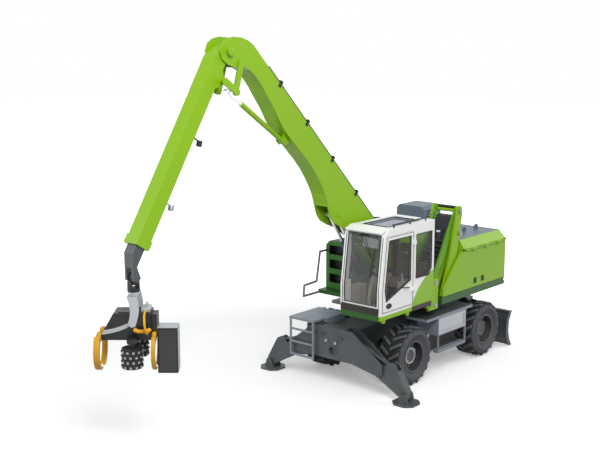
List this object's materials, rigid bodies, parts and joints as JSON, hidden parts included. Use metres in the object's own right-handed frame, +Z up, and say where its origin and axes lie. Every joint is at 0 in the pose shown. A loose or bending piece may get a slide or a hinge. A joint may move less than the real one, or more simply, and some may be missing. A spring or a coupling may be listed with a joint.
{
  "type": "forestry harvester",
  "caption": "Wheeled forestry harvester with slewing upper carriage, liftable side cab, curved boom, telescopic stick, hanging delimbing head, front outriggers and rear blade.",
  "frame": {"origin": "on the ground below the middle of the whole machine's box, with the boom as modelled", "axes": "+X forwards along the machine, +Y to its left, +Z up"},
  "size_m": [10.3929, 3.83, 6.7632],
  "materials": {
    "green": "gloss",
    "slate": "satin",
    "grey": "satin",
    "white": "gloss",
    "yellow": "satin",
    "black": "satin",
    "steel": "polished",
    "iron": "rough",
    "tyre": "matt",
    "glass": "tinted",
    "hose": "ribbed",
    "cloth": "woven"
  },
  "bodies": {
    "chassis": {"chassis": "slate", "axles": "slate", "steps": "grey", "leg_barrels": "slate"},
    "knuckle_left": {"knuckle_left": "slate"},
    "knuckle_right": {"knuckle_right": "slate"},
    "wheel_front_left": {"tyre_front_left": "tyre", "rim_front_left": "slate"},
    "wheel_front_right": {"tyre_front_right": "tyre", "rim_front_right": "slate"},
    "wheel_rear_left": {"tyre_rear_left": "tyre", "rim_rear_left": "slate"},
    "wheel_rear_right": {"tyre_rear_right": "tyre", "rim_rear_right": "slate"},
    "leg_left": {"leg_left": "slate"},
    "leg_right": {"leg_right": "slate"},
    "foot_left": {"foot_left": "slate"},
    "foot_right": {"foot_right": "slate"},
    "leg_rod_left": {"leg_rod_left": "steel"},
    "leg_rod_right": {"leg_rod_right": "steel"},
    "blade": {"blade": "slate"},
    "blade_barrels": {"blade_barrels": "slate"},
    "blade_rods": {"blade_rods": "steel"},
    "upper": {"upper_frame": "green", "engine_housing": "green", "engine": "iron", "counterweight": "iron", "tank": "green", "handrail": "grey", "cab_barrel": "slate"},
    "engine_door": {"engine_door": "green"},
    "lift_arms": {"lift_arms": "green"},
    "lift_links": {"lift_links": "green"},
    "cab_rod": {"cab_rod": "steel"},
    "cab": {"cab_base": "green", "cab_shell": "white", "cab_glass": "glass", "cab_trim": "black", "seat": "cloth"},
    "cab_door": {"cab_door": "white", "door_glass": "glass"},
    "boom": {"boom": "green", "boom_pipes": "black", "stick_barrel": "slate"},
    "lift_barrels": {"lift_barrels": "slate"},
    "lift_rods": {"lift_rods": "steel"},
    "rocker": {"rocker": "green"},
    "coupler": {"coupler": "green"},
    "stick_rod": {"stick_rod": "steel"},
    "stick": {"stick": "green"},
    "inner_stick": {"inner_stick": "grey"},
    "swing_link": {"swing_link": "black"},
    "rotator": {"rotator": "black"},
    "bracket": {"bracket": "grey"},
    "head": {"head_frame": "slate", "head_hose": "hose"},
    "knives_left": {"knives_left": "yellow"},
    "knives_right": {"knives_right": "yellow"},
    "roller_left": {"roller_left": "black"},
    "roller_right": {"roller_right": "black"}
  },
  "joints": [
    {"name": "steer_left", "type": "hinge", "parent": "chassis", "child": "knuckle_left", "pos_m": [-1.545, 0.64, 0.585], "axis": [0, 0, 1], "range_deg": [-28, 28]},
    {"name": "steer_right", "type": "hinge", "parent": "chassis", "child": "knuckle_right", "pos_m": [-1.545, -0.64, 0.585], "axis": [0, 0, 1], "range_deg": [-28, 28]},
    {"name": "roll_front_left", "type": "hinge", "parent": "knuckle_left", "child": "wheel_front_left", "pos_m": [-1.545, 0.96, 0.585], "axis": [0, 1, 0], "continuous": true},
    {"name": "roll_front_right", "type": "hinge", "parent": "knuckle_right", "child": "wheel_front_right", "pos_m": [-1.545, -0.96, 0.585], "axis": [0, 1, 0], "continuous": true},
    {"name": "roll_rear_left", "type": "hinge", "parent": "chassis", "child": "wheel_rear_left", "pos_m": [-4.155, 0.96, 0.585], "axis": [0, 1, 0], "continuous": true},
    {"name": "roll_rear_right", "type": "hinge", "parent": "chassis", "child": "wheel_rear_right", "pos_m": [-4.155, -0.96, 0.585], "axis": [0, 1, 0], "continuous": true},
    {"name": "outrigger_left", "type": "hinge", "parent": "chassis", "child": "leg_left", "pos_m": [-0.58, 1.11, 0.46], "axis": [1, 0, 0], "range_deg": [-5, 78]},
    {"name": "leg_rod_left", "type": "slide", "parent": "chassis", "child": "leg_rod_left", "axis": [0, 0.9402, -0.3406], "range_m": [-0.45, 0.06]},
    {"name": "foot_tip_left", "type": "hinge", "parent": "leg_left", "child": "foot_left", "pos_m": [-0.58, 1.68, 0.155], "axis": [1, 0, 0], "range_deg": [-30, 30]},
    {"name": "outrigger_right", "type": "hinge", "parent": "chassis", "child": "leg_right", "pos_m": [-0.58, -1.11, 0.46], "axis": [-1, 0, 0], "range_deg": [-5, 78]},
    {"name": "leg_rod_right", "type": "slide", "parent": "chassis", "child": "leg_rod_right", "axis": [0, -0.9402, -0.3406], "range_m": [-0.45, 0.06]},
    {"name": "foot_tip_right", "type": "hinge", "parent": "leg_right", "child": "foot_right", "pos_m": [-0.58, -1.68, 0.155], "axis": [1, 0, 0], "range_deg": [-30, 30]},
    {"name": "blade_lift", "type": "hinge", "parent": "chassis", "child": "blade", "pos_m": [-4.68, 0, 0.64], "axis": [0, 1, 0], "range_deg": [-6, 22]},
    {"name": "blade_barrel_swing", "type": "hinge", "parent": "chassis", "child": "blade_barrels", "pos_m": [-4.87, 0, 1.01], "axis": [0, 1, 0], "range_deg": [-8, 16]},
    {"name": "blade_rod", "type": "slide", "parent": "blade_barrels", "child": "blade_rods", "axis": [-0.2169, 0, -0.9762], "range_m": [-0.15, 0.06]},
    {"name": "slew", "type": "hinge", "parent": "chassis", "child": "upper", "pos_m": [-2.85, 0, 1.3], "axis": [0, 0, 1], "continuous": true},
    {"name": "engine_door_lift", "type": "hinge", "parent": "upper", "child": "engine_door", "pos_m": [-3.95, 1.276, 2.46], "axis": [1, 0, 0], "range_deg": [0, 75]},
    {"name": "cab_lift", "type": "hinge", "parent": "upper", "child": "lift_arms", "pos_m": [-3.04, 0.875, 3.28], "axis": [0, -1, 0], "range_deg": [0, 117]},
    {"name": "cab_link", "type": "hinge", "parent": "upper", "child": "lift_links", "pos_m": [-3.04, 0.875, 2.83], "axis": [0, -1, 0], "range_deg": [0, 117]},
    {"name": "cab_level", "type": "hinge", "parent": "lift_arms", "child": "cab", "pos_m": [-2.23654, 0.875, 1.94282], "axis": [0, -1, 0], "range_deg": [-117, 0]},
    {"name": "cab_rod", "type": "slide", "parent": "upper", "child": "cab_rod", "axis": [0, 0, 1], "range_m": [-0.01, 0.88]},
    {"name": "cab_door_swing", "type": "hinge", "parent": "cab", "child": "cab_door", "pos_m": [-1.374, 1.276, 2.4], "axis": [0, 0, 1], "range_deg": [0, 100]},
    {"name": "boom_lift", "type": "hinge", "parent": "upper", "child": "boom", "pos_m": [-2.3, 0, 2.1], "axis": [0, -1, 0], "range_deg": [-40, 22]},
    {"name": "lift_barrel_swing", "type": "hinge", "parent": "upper", "child": "lift_barrels", "pos_m": [-1.65, 0, 1.7], "axis": [0, -1, 0], "range_deg": [-50, 30]},
    {"name": "lift_rod", "type": "slide", "parent": "lift_barrels", "child": "lift_rods", "axis": [0.5785, 0, 0.8157], "range_m": [-0.6, 0.4]},
    {"name": "stick_swing", "type": "hinge", "parent": "boom", "child": "stick", "pos_m": [2.51021, 0, 6.53097], "axis": [0, 1, 0], "range_deg": [-80, 45]},
    {"name": "rocker_swing", "type": "hinge", "parent": "boom", "child": "rocker", "pos_m": [2.22626, 0, 6.33739], "axis": [0, 1, 0], "range_deg": [-80, 45]},
    {"name": "coupler_swing", "type": "hinge", "parent": "rocker", "child": "coupler", "pos_m": [2.36577, 0, 5.85679], "axis": [0, 1, 0], "range_deg": [-45, 80]},
    {"name": "stick_rod", "type": "slide", "parent": "boom", "child": "stick_rod", "axis": [0.8292, 0, 0.559], "range_m": [-0.4, 0.7]},
    {"name": "telescope", "type": "slide", "parent": "stick", "child": "inner_stick", "axis": [0.5299, 0, -0.848], "range_m": [0, 2.3]},
    {"name": "swing_fore", "type": "hinge", "parent": "inner_stick", "child": "swing_link", "pos_m": [4.50077, 0, 3.06989], "axis": [0, -1, 0], "range_deg": [-85, 85]},
    {"name": "swing_side", "type": "hinge", "parent": "swing_link", "child": "rotator", "pos_m": [4.50077, 0, 2.99489], "axis": [1, 0, 0], "range_deg": [-30, 30]},
    {"name": "rotate_head", "type": "hinge", "parent": "rotator", "child": "bracket", "pos_m": [4.50077, 0, 3.06989], "axis": [0, 0, 1], "continuous": true},
    {"name": "tilt_head", "type": "hinge", "parent": "bracket", "child": "head", "pos_m": [4.50077, 0, 2.37989], "axis": [-0.7547, -0.6561, 0], "range_deg": [0, 80]},
    {"name": "knives_left_open", "type": "hinge", "parent": "head", "child": "knives_left", "pos_m": [4.61398, 0.09841, 2.15989], "axis": [0.6561, -0.7547, 0], "range_deg": [0, 60]},
    {"name": "knives_right_open", "type": "hinge", "parent": "head", "child": "knives_right", "pos_m": [4.38757, -0.09841, 2.15989], "axis": [-0.6561, 0.7547, 0], "range_deg": [0, 60]},
    {"name": "feed_left", "type": "hinge", "parent": "head", "child": "roller_left", "pos_m": [4.74983, 0.2165, 1.87989], "axis": [0, 0, 1], "continuous": true},
    {"name": "feed_right", "type": "hinge", "parent": "head", "child": "roller_right", "pos_m": [4.25172, -0.2165, 1.87989], "axis": [0, 0, 1], "continuous": true}
  ],
  "couplings": [
    {"joint": "steer_right", "follows": "steer_left", "ratio": 1},
    {"joint": "leg_rod_left", "follows": "outrigger_left", "m_per_rad": -0.30176},
    {"joint": "leg_rod_right", "follows": "outrigger_right", "m_per_rad": -0.30176},
    {"joint": "blade_barrel_swing", "follows": "blade_lift", "ratio": 0.50506},
    {"joint": "blade_rod", "follows": "blade_lift", "m_per_rad": -0.29499},
    {"joint": "cab_link", "follows": "cab_lift", "ratio": 1},
    {"joint": "cab_level", "follows": "cab_lift", "ratio": -1},
    {"joint": "cab_rod", "follows": "cab_lift", "m_per_rad": 0.41753},
    {"joint": "lift_barrel_swing", "follows": "boom_lift", "ratio": 1.1042},
    {"joint": "lift_rod", "follows": "boom_lift", "m_per_rad": 0.69643},
    {"joint": "rocker_swing", "follows": "stick_swing", "ratio": 1},
    {"joint": "coupler_swing", "follows": "stick_swing", "ratio": -1},
    {"joint": "stick_rod", "follows": "stick_swing", "m_per_rad": -0.40264},
    {"joint": "knives_right_open", "follows": "knives_left_open", "ratio": 1}
  ]
}
